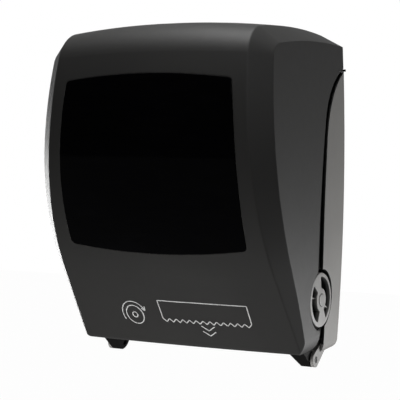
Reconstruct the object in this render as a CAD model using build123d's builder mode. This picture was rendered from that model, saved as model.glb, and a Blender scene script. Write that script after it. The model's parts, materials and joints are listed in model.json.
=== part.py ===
from build123d import *
import os
from math import asin, atan2, cos, radians, sin, sqrt, tan

os.makedirs("parts", exist_ok=True)

# A wall-hung roll towel dispenser, in millimetres.
# The origin is the centre of the wall screw pattern, on the wall plane. +Z is up, the front faces -Y.
# Below, "above" counts up from the cover's lower edge, and "forward" counts from the wall to the room.

# Cabinet form
mount_above = 250.0           # screw pattern's centre
feed_front_room = 15.5        # between the front towel guide and the cover's lower front
lower_front_radius = 300.0    # shield profile below the belly
upper_front_radius = 420.0    # shield profile over the belly
front_lean = 32.7             # degrees from upright, straight lower front
shoulder_radius = 43.0        # shield edge, front to top
toe_radius = 9.0              # lower front to underside
top_room = 40.5               # from the roll up to the top's middle line, at the wall
top_crown = 8.0               # the shield's side edges lie this far under the middle
front_crown = 4.7             # and this far behind it
shield_inset = 6.7            # the shield's lower edge lies this far inside the widest half
shield_edge_round = 3.0
shield_edge_lean = 3.9        # degrees, the shield narrows upwards
band_width = 30.0             # bevelled band beside the shield
band_depth = 30.0
band_drop = 16.5
band_shoulder_radius = 15.0
band_half_turn = 22.5        # degrees, half the turn from shield to band
middle_fall_share = 0.035     # fall of each top line per forward length
shield_fall_share = 0.027
band_fall_share = 0.078
top_bow = 6.0                 # each top line bows up this far over its straight fall
cheek_floor_above = -8.0      # where the cheeks' rounded lower corners would end
cheek_corner_radius = 30.0
cheek_mid_above = 200.0
wall_half_shares = (0.9406, 1.0, 0.978)   # half widths at floor, middle and top, at the wall
front_half_shares = (1.033, 1.009, 0.90)  # and at the shield's depth
wall = 3.0
overrun = 6.0                 # how far cutting shapes run past what they cut

# Parting line between cover and housing, and the towel slot under the cover
housing_bend_forward = 54.8   # where the edge's long curve turns into its horn
housing_bend_above = 266.0
housing_bend_lean = 10.0      # degrees back from upright, at the bend
housing_edge_radius = 900.0   # long curve under the bend
housing_horn_radius = 121.0
housing_foot_forward = 54.0   # upright edge under the knob
reveal_forward = 5.7          # the cover's bend lies this far forward of the housing's
reveal_rise = 18.6            # and this far over it
reveal_lean = 4.0             # degrees more
reveal_foot = 16.5            # dark gap between the two upright edges
edge_spread = 60.0            # the cover's long curve is this much tighter in radius
horn_spread = 25.0            # and its horn this much
cover_wall_gap = 1.0
slot_margin = 3.0             # towel slot past the drum's ends
slot_reach = 29.5             # and forward of the axle

# Window
window_top_inset = 41.3       # from the shield's half width
window_mid_inset = 34.3
window_low_inset = 32.3
window_top_drop = 72.0        # under the top
window_mid_drop = 13.0        # under the belly
window_low_rise = 32.7        # over the bend of the lower front
window_top_bow = 7.0
window_low_bow = 8.6
window_corner_radius = 6.0
window_proud = 0.9
window_rim_round = 0.8
window_rebate = 1.6
window_ledge = 7.0
window_clearance = 0.15

# Housing
housing_floor_above = -9.0
housing_corner_radius = 14.0
housing_floor_back = 21.0     # floor's edge behind the hinge
back_wall = 3.0
upper_panel_inset = 32.0      # from the widest half
upper_panel_drop = 20.0       # upper panel ends this far under the top
upper_panel_corner = 14.0
screw_spacing_x = 140.0
screw_spacing_z = 170.0
wall_screw_hole_radius = 2.75
wall_screw_pad_radius = 9.0
wall_screw_pad = 2.0

# Seals behind the reveal
seal_thickness = 2.5
seal_lap = 8.0
seal_gap = 0.8
seal_lip_rear = 0.5           # small lip at the horn's tip, from the wall
seal_lip_front = 3.0
seal_lip_reach = 3.0          # past the cheek
seal_low_above = 10.0

# Hinge
hinge_lead = 13.0             # hinge in front of the housing's upright edge
hinge_above = -13.5
hinge_eye_radius = 9.5
hinge_arm_inset = 10.0        # from the widest half
hinge_arm_width = 4.0
hinge_root_back = 23.0        # arm's root behind the hinge
hinge_root_above = -0.5
hinge_root_radius = 7.0
hinge_gap = 0.5
hinge_pin_radius = 4.0
lug_top_width = 22.0
lug_low_width = 11.0
lug_lead = 5.5                # lug's rear in front of the cover's upright edge
lug_length = 22.0

# Feed drum
drum_floor_gap = 17.5         # under the drum, down to the cover's lower edge
axle_radius = 6.0
drum_radius = 45.0
drum_wall = 3.0
drum_margin = 1.5             # drum past each end of the roll
drum_cap = 5.0
grip_thickness = 1.2
grip_width = 14.0
grip_margin = 23.0            # outer bands' middles from the drum's ends
grip_count = 5
running = 0.05                # radial clearance of shafts and pins
seat = 0.05                   # clearance of pieces pushed together
slack = 0.3                   # clearance between pieces that pass each other

# Knife, in the drum: radial and along the rim from the drum's centre
slot_angle = -12.0            # degrees from forward
slot_before = 19.0
slot_after = 5.0
slot_depth = 10.0
knife_pivot_depth = 20.0      # inside the drum's surface
knife_pivot_along = -22.0
knife_set_angle = 50.0        # degrees from radial, at rest
knife_pin_radius = 3.0
knife_tube_radius = 5.5
knife_margin = 8.0            # knife short of the drum's ends
knife_arm = 18.0
knife_arm_thickness = 4.0
blade_start = 9.0
blade_end = 30.5
blade_thickness = 1.2
tooth_pitch = 6.0
tooth_depth = 3.0
follower_arm = 10.0
follower_arm_thickness = 2.2
follower_radius = 4.0
follower_width = 2.2
track_rim = 3.0
track_base = 1.5

# Side frames
frame_gap = 8.0
frame_thickness = 3.5
frame_floor_above = 4.0
frame_top_rise = 12.0         # over the pinch pivot
frame_low_reach = 33.5        # corners from the axle
frame_nose_reach = 63.5
frame_nose_rise = 27.5
frame_top_reach = 29.5
frame_corner_radius = 8.0
foot_width = 16.0
foot_low_above = 18.0
foot_high_above = 128.0
foot_screw_inset = 18.0
screw_shank_radius = 1.9
screw_head_radius = 3.6
screw_head = 2.4
screw_hole_radius = 2.05
screw_end_gap = 0.5
tie_radius = 4.0
tie_upper_reach = 43.5        # rods from the axle
tie_upper_rise = 41.5
tie_lower_back = 52.5
tie_lower_fall = 48.5

# Towel guides round the drum, angles in degrees from forward
guide_gap = 10.0              # between drum and guides
guide_wall_gap = 10.0         # between the rear guide and the back panel
guide_thickness = 2.5
front_guide_angles = (-80.0, -35.0)
rear_guide_angles = (-190.0, -105.0)

# Pinch roller
pinch_angle = 110.0           # degrees from forward, round the drum
pinch_radius = 10.0
pinch_shaft_radius = 3.0
pinch_sleeve_count = 3
pinch_sleeve_gap = 12.0
pinch_sleeve_end = 13.0       # outer sleeves short of the yoke's arms
pinch_pivot_back = 46.5       # pivot from the axle
pinch_pivot_rise = 65.5
pinch_pivot_radius = 4.0
pinch_arm_thickness = 3.0
pinch_pivot_boss = 8.0
pinch_shaft_boss = 7.0
pinch_tube_wall = 2.0
press_bar_reach = 13.0        # bar from the pivot
press_bar_rise = 0.5
press_bar_width = 8.0
press_bar_height = 5.0
leaf_thickness = 0.8
leaf_width = 24.0
leaf_root_rise = 25.0         # over the pivot
leaf_foot = 16.0
leaf_tip = 3.0

# Right end of the axle: bush, clutch, support and knob
bush_radius = 9.0
bush_flange_radius = 12.0
bush_flange = 2.0
clutch_radius = 13.0
clutch_width = 10.0
support_wall = 4.0
support_flange_radius = 28.0
support_flange = 3.0
end_play = 1.0
knob_radius = 34.0
knob_opening_gap = 4.2
knob_thickness = 18.9         # at its hub
knob_stem = 10.0
knob_shy = 1.6                # hub's face inside the cabinet's widest half
knob_dome = 0.5               # hub's face over the rim's
knob_rim = 5.0
knob_hub_radius = 14.3
knob_pocket_depth = 10.0
knob_pocket_angles = ((-70.0, 43.0), (88.0, 238.0))  # degrees from forward
knob_pocket_round = 2.0
knob_stem_radius = 12.0
knob_cap_radius = 7.5
knob_cap_groove = 0.7         # round the cap
knob_cap_proud = 0.8
knob_cap_depth = 2.0
knob_round = 1.2
knob_cap_round = 0.6

# Left end of the axle: crank, return spring and case
crank_radius = 24.0
crank_thickness = 5.0
spring_radius = 6.0
spring_wire = 0.8             # wire radius
spring_turns = 12             # whole turns, before the last half turn
spring_anchor_rise = 62.5     # over the axle
spring_hook_rise = 16.0
spring_standoff = 9.5
case_radius = 29.0
case_top_radius = 12.0
case_wall = 2.0

# Roll arms and hubs
roll_width = 203.0
roll_diameter = 203.0
roll_back_gap = 13.5          # behind a full roll
roll_room = 20.5              # under a full roll, over the side frames
hub_radius = 18.0
hub_nose_radius = 15.0
hub_length = 9.0
hub_nose = 1.5
hub_flange_radius = 25.0
hub_flange = 2.5
hub_stub_radius = 5.0
arm_thickness = 4.0
arm_tip_radius = 15.0
arm_root_radius = 12.0
arm_pin_forward = 14.0
arm_pin_radius = 2.5
arm_knuckle_radius = 6.0
arm_knuckle_half = 13.0
lug_thickness = 5.0
lug_half_width = 6.5
lug_reach = 21.0

# Lock in the cover's top
lock_forward = 30.0
lock_seat_drop = 1.6          # flat seat under the top
lock_barrel_radius = 9.0
lock_sleeve_radius = 11.5
lock_flange_radius = 14.0
lock_flange = 2.5
lock_sleeve_depth = 14.0
key_slot_length = 11.0
key_slot_width = 2.4
key_slot_depth = 8.0
cam_drop = 22.0               # cam's underside below the seat
cam_thickness = 4.0
cam_length = 20.0
cam_width = 8.0
nut_radius = 15.0
nut_height = 4.0
strike_half = 5.0
strike_across = 17.0
strike_thickness = 2.5
strike_drop = 4.0
strike_foot = 14.0

# Worked-out places: the feed unit, up from the floor and out from the back panel
guide_radius = drum_radius + guide_gap
guide_outer = guide_radius + guide_thickness
axle_forward = back_wall + guide_wall_gap + guide_outer
axle_above = drum_radius + drum_floor_gap
grip_radius = drum_radius + seat + grip_thickness
knife_pivot_radial = drum_radius - knife_pivot_depth
track_outer_radius = drum_radius - end_play
track_inner_radius = bush_radius + end_play
pinch_pivot_forward = axle_forward - pinch_pivot_back
pinch_pivot_above = axle_above + pinch_pivot_rise
pinch_reach = grip_radius + slack + pinch_radius
pinch_forward = axle_forward + pinch_reach * cos(radians(pinch_angle))
pinch_above = axle_above + pinch_reach * sin(radians(pinch_angle))
press_bar_forward = pinch_pivot_forward + press_bar_reach
press_bar_above = pinch_pivot_above + press_bar_rise
leaf_root_above = pinch_pivot_above + leaf_root_rise
frame_top_above = pinch_pivot_above + frame_top_rise
spring_anchor_above = axle_above + spring_anchor_rise
spring_hook_above = axle_above + spring_hook_rise
case_top_above = spring_anchor_above + end_play

# The stack from the roll's end out to the knob, which sets the cabinet's width
drum_half = roll_width / 2 + drum_margin
frame_inner = drum_half + frame_gap
frame_outer = frame_inner + frame_thickness
bush_end = frame_outer + bush_flange
clutch_inner = bush_end + end_play
clutch_outer = clutch_inner + clutch_width
support_end = clutch_outer + end_play
stem_inner = support_end + end_play
knob_back = stem_inner + knob_stem
knob_face = knob_back + knob_thickness
knob_rim_face = knob_face - knob_dome
half_width = knob_face + knob_shy
shield_half_width = half_width - shield_inset
hinge_arm_outer = half_width - hinge_arm_inset
hinge_arm_inner = hinge_arm_outer - hinge_arm_width
lug_outer = hinge_arm_inner - hinge_gap
lug_inner_top = lug_outer - lug_top_width
lug_inner_low = lug_outer - lug_low_width
slot_half_width = drum_half + slot_margin
upper_panel_half = half_width - upper_panel_inset
knife_half = drum_half - knife_margin
hub_outer = roll_width / 2 + end_play + hub_flange
arm_inner = hub_outer + slack
arm_outer = arm_inner + arm_thickness
arm_pin_across = arm_inner + arm_thickness / 2

# Heights and depths from the roll over the feed unit
roll_radius = roll_diameter / 2
roll_forward = back_wall + roll_back_gap + roll_radius
roll_above = frame_top_above + roll_room + roll_radius
belly_above = roll_above
top_at_wall = roll_above + roll_radius + top_room
cheek_top_above = top_at_wall + overrun
lean_cos = cos(radians(front_lean))
lean_sin = sin(radians(front_lean))
bend_above = belly_above - lower_front_radius * lean_sin
front_distance = guide_outer + feed_front_room + wall
bend_forward = axle_forward + (front_distance + (bend_above - axle_above) * lean_sin) / lean_cos
shield_depth = bend_forward + lower_front_radius * (1 - lean_cos)
slot_front_forward = axle_forward + slot_reach
window_top_half = shield_half_width - window_top_inset
window_mid_half = shield_half_width - window_mid_inset
window_low_half = shield_half_width - window_low_inset
window_top_above = top_at_wall - window_top_drop
window_mid_above = belly_above - window_mid_drop
window_low_above = bend_above + window_low_rise
upper_panel_above = top_at_wall - upper_panel_drop

# Parting line and hinge
knob_opening_radius = knob_radius + knob_opening_gap
knee_above = axle_above + knob_opening_radius
foot_above = axle_above - knob_opening_radius
cover_foot_forward = housing_foot_forward + reveal_foot
housing_edge = (
    housing_bend_forward, housing_bend_above, housing_bend_lean,
    housing_edge_radius, housing_horn_radius, housing_foot_forward,
)
cover_edge = (
    housing_bend_forward + reveal_forward, housing_bend_above + reveal_rise, housing_bend_lean + reveal_lean,
    housing_edge_radius - edge_spread, housing_horn_radius - horn_spread, cover_foot_forward,
)
hinge_forward = housing_foot_forward + hinge_lead
hinge_root_forward = hinge_forward - hinge_root_back
housing_floor_forward = hinge_forward - housing_floor_back
lug_top_rear = cover_foot_forward + lug_lead
lug_top_front = lug_top_rear + lug_length


def side_plane(across):
    """Upright plane across the cabinet: local x runs forward, local y runs up, extrusions run to -X."""
    return Plane(origin=(across, 0, -mount_above), x_dir=(0, -1, 0), z_dir=(-1, 0, 0))


def front_plane(forward):
    """Plane parallel to the wall: local x is X, local y runs up, extrusions run to the room."""
    return Plane(origin=(0, -forward, -mount_above), x_dir=(1, 0, 0), z_dir=(0, -1, 0))


def level_plane(above):
    """Level plane: local x is X, local y runs forward, extrusions run down."""
    return Plane(origin=(0, 0, above - mount_above), x_dir=(1, 0, 0), z_dir=(0, 0, -1))


def save(piece, name):
    """Label a finished piece and write it."""
    piece.part.label = name
    export_step(piece.part, f"parts/{name}.step")


def save_pair(right, name):
    """Write a right-hand piece and its mirror image on the left."""
    save(right, f"{name}_right")
    with BuildPart() as left:
        mirror(right.part, about=Plane.YZ)
    save(left, f"{name}_left")


def brow_spot(front_in, top_above, fall_share):
    """Where a top line's straight fall meets the upper front arc."""
    radius = upper_front_radius - front_in
    center = shield_depth - upper_front_radius
    rise = top_above - belly_above
    square = 1 + fall_share**2
    half_linear = center + fall_share * rise
    constant = center**2 + rise**2 - radius**2
    forward = (half_linear + sqrt(half_linear**2 - square * constant)) / square
    return forward, top_above - fall_share * forward


def top_height(brow, top_above, forward):
    """Height of a bowed top line, a circle over its chord from the wall to the brow."""
    fall = top_above - brow[1]
    chord = sqrt(brow[0] ** 2 + fall**2)
    radius = chord**2 / (8 * top_bow) + top_bow / 2
    lift = (radius - top_bow) / chord
    center = (brow[0] / 2 - lift * fall, (top_above + brow[1]) / 2 - lift * brow[0])
    return center[1] + sqrt(radius**2 - (forward - center[0]) ** 2)


def profile_section(plane, front_in, top_above, fall_share, shoulder, inset, back):
    """Side profile of the cabinet on one plane, drawn in from the shield's edge by front_in."""
    lean = radians(front_lean)
    low_radius = lower_front_radius - front_in
    high_radius = upper_front_radius - front_in
    low_center = shield_depth - lower_front_radius
    high_center = shield_depth - upper_front_radius
    floor = inset
    bend = (low_center + low_radius * cos(lean), belly_above - low_radius * sin(lean))
    half_bend = (low_center + low_radius * cos(lean / 2), belly_above - low_radius * sin(lean / 2))
    foot = (bend[0] - (bend[1] - floor) * tan(lean), floor)
    belly = (shield_depth - front_in, belly_above)
    brow = brow_spot(front_in, top_above, fall_share)
    crest_forward = brow[0] / 2
    rear_top = (back, top_height(brow, top_above, back))
    crest = (crest_forward, top_height(brow, top_above, crest_forward))
    rise_half = (brow[1] - belly_above) / 2
    brow_half = (high_center + sqrt(high_radius**2 - rise_half**2), belly_above + rise_half)
    with BuildSketch(plane) as section:
        with BuildLine():
            Line((back, floor), rear_top)
            ThreePointArc(rear_top, crest, brow)
            ThreePointArc(brow, brow_half, belly)
            ThreePointArc(belly, half_bend, bend)
            Polyline(bend, foot, (back, floor))
        make_face()
        fillet(section.vertices().sort_by_distance(brow)[0], shoulder - inset)
        fillet(section.vertices().sort_by_distance(foot)[0], toe_radius - inset)
    return section.sketch


def edge_plane(side, outward):
    """Leaning plane through a shield edge, moved outward by a distance."""
    lean = radians(shield_edge_lean)
    across = side * (shield_half_width + outward)
    return Plane(
        origin=(across, 0, -mount_above), x_dir=(0, -1, 0), z_dir=(-cos(lean), 0, -side * sin(lean))
    )


def cheek_outline(forward, shares, inset, floor_above, corner_radius):
    """Front outline of the cabinet's sides at one distance from the wall."""
    low, middle, high = (half_width * share - inset for share in shares)
    floor = floor_above + inset
    with BuildSketch(front_plane(forward)) as outline:
        with BuildLine():
            Line((-low, floor), (low, floor))
            ThreePointArc((low, floor), (middle, cheek_mid_above), (high, cheek_top_above))
            Line((high, cheek_top_above), (-high, cheek_top_above))
            ThreePointArc((-high, cheek_top_above), (-middle, cheek_mid_above), (-low, floor))
        make_face()
        fillet(outline.vertices().group_by(Axis.Y)[0], corner_radius - inset)
    return outline.sketch


def cheek_solid(inset, floor_above, corner_radius):
    """Space between the two cheeks, from behind the wall plane to past the shield."""
    with BuildPart() as solid:
        loft(
            sections=[
                cheek_outline(-overrun, wall_half_shares, inset, floor_above, corner_radius),
                cheek_outline(shield_depth + overrun, front_half_shares, inset, floor_above, corner_radius),
            ],
            ruled=True,
        )
    return solid.part


def shield_edge(side, inset, back):
    """Profile along one side edge of the shield."""
    return profile_section(
        edge_plane(side, -inset * tan(radians(band_half_turn))), inset, top_at_wall - top_crown - inset,
        shield_fall_share, shoulder_radius, inset, back,
    )


def band_edge(side, inset, back):
    """Profile where one bevelled band runs out past the cheek."""
    outward = band_width - inset * tan(radians(band_half_turn))
    return profile_section(
        edge_plane(side, outward), inset + band_depth, top_at_wall - top_crown - band_drop - inset,
        band_fall_share, band_shoulder_radius, inset, back,
    )


def shield_solid(inset, back):
    """The crowned shield between its two side edges, drawn in by inset."""
    middle = profile_section(
        side_plane(0), inset - front_crown, top_at_wall - inset,
        middle_fall_share, shoulder_radius + front_crown, inset, back,
    )
    with BuildPart() as solid:
        loft(sections=[shield_edge(-1, inset, back), middle, shield_edge(1, inset, back)])
    return solid.part


def cabinet_solid(inset, back):
    """The whole cabinet, drawn in all round by inset: shield, bevelled bands and cheeks."""
    with BuildPart() as solid:
        add(shield_solid(inset, back))
        for side in (-1, 1):
            loft(sections=[shield_edge(side, inset, back), band_edge(side, inset, back)], ruled=True)
        add(cheek_solid(inset, cheek_floor_above, cheek_corner_radius), mode=Mode.INTERSECT)
    return solid.part


def window_outline(grow):
    """Window's outline, grown on every side, on a plane inside the cabinet."""
    top_half, mid_half, low_half = (
        half + grow for half in (window_top_half, window_mid_half, window_low_half)
    )
    top = window_top_above + grow
    low = window_low_above - grow
    with BuildSketch(front_plane(shield_depth / 2)) as outline:
        with BuildLine():
            ThreePointArc((-top_half, top), (0, top + window_top_bow), (top_half, top))
            ThreePointArc((top_half, top), (mid_half, window_mid_above), (low_half, low))
            ThreePointArc((low_half, low), (0, low - window_low_bow), (-low_half, low))
            ThreePointArc((-low_half, low), (-mid_half, window_mid_above), (-top_half, top))
        make_face()
        fillet(outline.vertices(), window_corner_radius)
    return outline.sketch


def behind(bend, lean, radius):
    """Centre of an arc that leaves a bend at a lean from upright, in degrees."""
    turn = radians(lean)
    return (bend[0] - radius * cos(turn), bend[1] - radius * sin(turn))


def on_circle(center, radius, turn):
    """Point on a circle at a turn in radians from forward."""
    return (center[0] + radius * cos(turn), center[1] + radius * sin(turn))


def horn_above(edge, grow, forward):
    """Height of a parting edge's horn at one distance from the wall, the edge grown forward."""
    bend_forward, bend_above, lean, edge_radius, horn_radius, foot_forward = edge
    center = behind((bend_forward, bend_above), lean, horn_radius)
    return center[1] + sqrt((horn_radius + grow) ** 2 - (forward - center[0]) ** 2)


def parting_side(edge, grow, back, low_above):
    """Side view of what lies behind a parting edge, grown forward: foot, long curve, horn to the wall."""
    bend_forward, bend_above, lean, edge_radius, horn_radius, foot_forward = edge
    edge_center = behind((bend_forward, bend_above), lean, edge_radius)
    horn_center = behind((bend_forward, bend_above), lean, horn_radius)
    long_radius = edge_radius + grow
    tip = (back, horn_above(edge, grow, back))
    knee_turn = asin((knee_above - edge_center[1]) / long_radius)
    tip_turn = atan2(tip[1] - horn_center[1], tip[0] - horn_center[0])
    bend_turn = radians(lean)
    knee = on_circle(edge_center, long_radius, knee_turn)
    on_curve = on_circle(edge_center, long_radius, (knee_turn + bend_turn) / 2)
    bend = on_circle(edge_center, long_radius, bend_turn)
    on_horn = on_circle(horn_center, horn_radius + grow, (bend_turn + tip_turn) / 2)
    foot = foot_forward + grow
    with BuildSketch(side_plane(0)) as side:
        with BuildLine():
            Polyline(tip, (back, low_above), (foot, low_above), (foot, foot_above), knee)
            ThreePointArc(knee, on_curve, bend)
            ThreePointArc(bend, on_horn, tip)
        make_face()
    return side.sketch


def turned(right, left, spot, outer, inner=0, mode=Mode.ADD):
    """Round stock or a bore along X between two places, in the part being built."""
    with BuildSketch(side_plane(right)) as end:
        with Locations(spot):
            Circle(outer)
            if inner:
                Circle(inner, mode=Mode.SUBTRACT)
    extrude(end.sketch, amount=right - left, mode=mode)


def upright(high, low, across, forward, outer, inner=0, mode=Mode.ADD):
    """Round stock or a bore along Z between two heights, in the part being built."""
    with BuildSketch(level_plane(high)) as end:
        with Locations((across, forward)):
            Circle(outer)
            if inner:
                Circle(inner, mode=Mode.SUBTRACT)
    extrude(end.sketch, amount=high - low, mode=mode)


def hull(plane, first, first_radius, second, second_radius):
    """Outline drawn tight round two circles."""
    with BuildSketch(plane) as outline:
        with Locations(first):
            Circle(first_radius)
        with Locations(second):
            Circle(second_radius)
        make_hull()
    return outline.sketch


def drum_plane(across):
    """Plane across the drum: local x runs out through the knife slot, local y along the rim."""
    turn = radians(slot_angle)
    return Plane(
        origin=(across, -axle_forward, axle_above - mount_above),
        x_dir=(0, -cos(turn), sin(turn)), z_dir=(-1, 0, 0),
    )


def knife_plane(across):
    """Plane across the knife: local x runs from its pivot to the blade's tip."""
    turn = radians(slot_angle + knife_set_angle)
    pivot = drum_plane(across).from_local_coords((knife_pivot_radial, knife_pivot_along, 0))
    return Plane(origin=pivot, x_dir=(0, -cos(turn), sin(turn)), z_dir=(-1, 0, 0))


def screw(across, above, seat_forward):
    """A pan-head screw from a seat back into the rear panel, in the part being built."""
    with BuildSketch(front_plane(screw_end_gap)) as shank:
        with Locations((across, above)):
            Circle(screw_shank_radius)
    extrude(shank.sketch, amount=seat_forward - screw_end_gap)
    with BuildSketch(front_plane(seat_forward)) as head:
        with Locations((across, above)):
            Circle(screw_head_radius)
    extrude(head.sketch, amount=screw_head)


middle_brow = brow_spot(-front_crown, top_at_wall, middle_fall_share)
lock_seat_above = top_height(middle_brow, top_at_wall, lock_forward) - lock_seat_drop
lock_nut_above = lock_seat_above - 2 * wall
cam_above = lock_seat_above - cam_drop
hinge_spot = (hinge_forward, hinge_above)
axle_spot = (axle_forward, axle_above)
roll_spot = (roll_forward, roll_above)
pinch_pivot = (pinch_pivot_forward, pinch_pivot_above)
pinch_spot = (pinch_forward, pinch_above)
tie_spots = (
    (axle_forward + tie_upper_reach, axle_above + tie_upper_rise),
    (axle_forward - tie_lower_back, axle_above - tie_lower_fall),
)
beyond = half_width + 2 * overrun
foot_screw_across = frame_outer + foot_width / 2
foot_screw_heights = (foot_low_above + foot_screw_inset, foot_high_above - foot_screw_inset)
leaf_screw_above = leaf_root_above + leaf_foot / 2
strike_level = cam_above - strike_drop
strike_screw_above = strike_level - strike_foot / 2
window_reach = shield_depth / 2 + overrun

# Cover: a shell with the window's rebate and opening, the towel slot, the knob's notch and the lock's seat
with BuildPart() as window_seat:
    extrude(window_outline(window_clearance), amount=window_reach)
    add(shield_solid(window_rebate, 0), mode=Mode.SUBTRACT)



def shield_ridge(solid, side):
    """Long edges between the shield and one band."""
    plane = edge_plane(side, 0)
    return solid.edges().filter_by(
        lambda edge: edge.length > toe_radius and abs(plane.to_local_coords(edge @ (1 / 2)).Z) < running
    )


with BuildPart() as front_cover:
    add(cabinet_solid(0, cover_wall_gap))
    fillet(shield_ridge(front_cover, -1) + shield_ridge(front_cover, 1), shield_edge_round)
    add(cabinet_solid(wall, -overrun), mode=Mode.SUBTRACT)
    extrude(
        parting_side(cover_edge, 0, -overrun, -overrun),
        amount=beyond, both=True, mode=Mode.SUBTRACT,
    )
    add(window_seat.part, mode=Mode.SUBTRACT)
    extrude(window_outline(-window_ledge), amount=window_reach, mode=Mode.SUBTRACT)
    with BuildSketch(level_plane(wall + overrun)):
        with Locations((0, slot_front_forward)):
            Rectangle(
                2 * slot_half_width, slot_front_forward - cover_foot_forward + overrun,
                align=(Align.CENTER, Align.MAX),
            )
    extrude(amount=wall + 2 * overrun, mode=Mode.SUBTRACT)
    turned(beyond, frame_outer, axle_spot, knob_opening_radius, mode=Mode.SUBTRACT)
    for high, low, radius in (
        (top_at_wall + overrun, lock_seat_above, lock_flange_radius),
        (lock_seat_above, lock_nut_above, lock_sleeve_radius),
    ):
        upright(high, low, 0, lock_forward, radius + seat, mode=Mode.SUBTRACT)
save(front_cover, "front_cover")

with BuildPart() as window_panel:
    extrude(window_outline(0), amount=window_reach)
    add(shield_solid(-window_proud, 0), mode=Mode.INTERSECT)
    add(shield_solid(window_rebate - window_clearance, 0), mode=Mode.SUBTRACT)
    rim = window_panel.faces().sort_by(Axis.Y)[0].edges()
    fillet(rim, window_rim_round)
save(window_panel, "window_panel")

# Hinge lugs under the cover, their pins in the housing's arms
with BuildPart() as hinge_lug:
    with BuildSketch(side_plane(lug_outer)):
        with BuildLine():
            Line((lug_top_rear, 0), (lug_top_front, 0))
        with Locations(hinge_spot):
            Circle(hinge_eye_radius)
        make_hull()
    extrude(amount=lug_outer - lug_inner_top)
    with BuildSketch(front_plane(hinge_forward - hinge_eye_radius - overrun)):
        with BuildLine():
            low = hinge_above - hinge_eye_radius - overrun
            Polyline(
                (lug_inner_top - overrun, 0), (lug_inner_top, 0), (lug_inner_low, low),
                (lug_inner_top - overrun, low), close=True,
            )
        make_face()
    extrude(amount=lug_top_front, mode=Mode.SUBTRACT)
    turned(lug_outer, lug_inner_top, hinge_spot, hinge_pin_radius + running, mode=Mode.SUBTRACT)
save_pair(hinge_lug, "hinge_lug")

with BuildPart() as hinge_pin:
    turned(hinge_arm_outer - hinge_gap, lug_inner_low, hinge_spot, hinge_pin_radius)
save_pair(hinge_pin, "hinge_pin")

# Housing: back panel, side strips, floor, hinge arms, lugs for the roll arms and the upper panel
with BuildPart() as housing_hollow:
    add(cheek_solid(wall, housing_floor_above, housing_corner_radius))
    split(bisect_by=front_plane(back_wall), keep=Keep.TOP)

with BuildPart() as rear_housing:
    add(cheek_solid(0, housing_floor_above, housing_corner_radius))
    extrude(
        parting_side(housing_edge, 0, 0, housing_floor_above - overrun),
        amount=beyond, both=True, mode=Mode.INTERSECT,
    )
    add(housing_hollow.part, mode=Mode.SUBTRACT)
    with BuildSketch(level_plane(housing_floor_above + wall + overrun)):
        with Locations((0, housing_floor_forward)):
            Rectangle(2 * hinge_arm_inner, hinge_forward, align=(Align.CENTER, Align.MIN))
    extrude(amount=wall + 2 * overrun, mode=Mode.SUBTRACT)
    with BuildSketch(front_plane(0)) as upper_panel:
        with Locations((0, upper_panel_above)):
            Rectangle(
                2 * upper_panel_half, upper_panel_above - housing_bend_above,
                align=(Align.CENTER, Align.MAX),
            )
        fillet(upper_panel.vertices().group_by(Axis.Y)[-1], upper_panel_corner)
    extrude(amount=back_wall)
    for side in (-1, 1):
        extrude(
            hull(
                side_plane(side * hinge_arm_outer), hinge_spot, hinge_eye_radius,
                (hinge_root_forward, hinge_root_above), hinge_root_radius,
            ),
            amount=side * hinge_arm_width,
        )
        for end in (-1, 1):
            lug_top = roll_above + end * (arm_knuckle_half + slack + lug_thickness / 2) + lug_thickness / 2
            with BuildSketch(level_plane(lug_top)):
                with Locations((side * arm_pin_across, 0)):
                    Rectangle(2 * lug_half_width, lug_reach, align=(Align.CENTER, Align.MIN))
            extrude(amount=lug_thickness)
        upright(
            roll_above + arm_knuckle_half + lug_thickness + overrun,
            roll_above - arm_knuckle_half - lug_thickness - overrun,
            side * arm_pin_across, arm_pin_forward, arm_pin_radius + seat, mode=Mode.SUBTRACT,
        )
    turned(beyond, -beyond, hinge_spot, hinge_pin_radius + seat, mode=Mode.SUBTRACT)
    turned(beyond, frame_outer, axle_spot, knob_opening_radius, mode=Mode.SUBTRACT)
    with BuildSketch(front_plane(back_wall)):
        with Locations((0, mount_above)):
            with GridLocations(screw_spacing_x, screw_spacing_z, 2, 2):
                Circle(wall_screw_pad_radius)
    extrude(amount=wall_screw_pad)
    with BuildSketch(front_plane(-overrun)):
        with Locations((0, mount_above)):
            with GridLocations(screw_spacing_x, screw_spacing_z, 2, 2):
                Circle(wall_screw_hole_radius)
    extrude(amount=back_wall + 2 * overrun, mode=Mode.SUBTRACT)
    with BuildSketch(front_plane(-overrun)):
        with Locations((0, leaf_screw_above), (strike_across, strike_screw_above)):
            Circle(screw_hole_radius)
        for above in foot_screw_heights:
            with Locations((foot_screw_across, above), (-foot_screw_across, above)):
                Circle(screw_hole_radius)
    extrude(amount=back_wall + 2 * overrun, mode=Mode.SUBTRACT)
save(rear_housing, "rear_housing")

# Black seals behind the reveal between housing and cover, the right one with a ring round the knob
lip_low = running + horn_above(housing_edge, 0, 0)
lip_high = horn_above(cover_edge, 0, seal_lip_front) - slack


def lining(outer):
    """Sheet along the inside of both cheeks, out to one inset from them, in the part being built."""
    inner = wall + seal_gap + seal_thickness
    add(cheek_solid(outer, cheek_floor_above, cheek_corner_radius))
    add(cheek_solid(inner, cheek_floor_above, cheek_corner_radius), mode=Mode.SUBTRACT)


def lip(outer, front):
    """Level tongue beside the wall between the horn's tip and the cover, out to one inset."""
    with BuildPart() as tongue:
        lining(outer)
        with BuildSketch(level_plane(lip_high)) as level:
            with Locations((0, seal_lip_rear)):
                Rectangle(2 * beyond, front - seal_lip_rear, align=(Align.CENTER, Align.MIN))
        extrude(level.sketch, amount=lip_high - lip_low, mode=Mode.INTERSECT)
    return tongue.part


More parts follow.
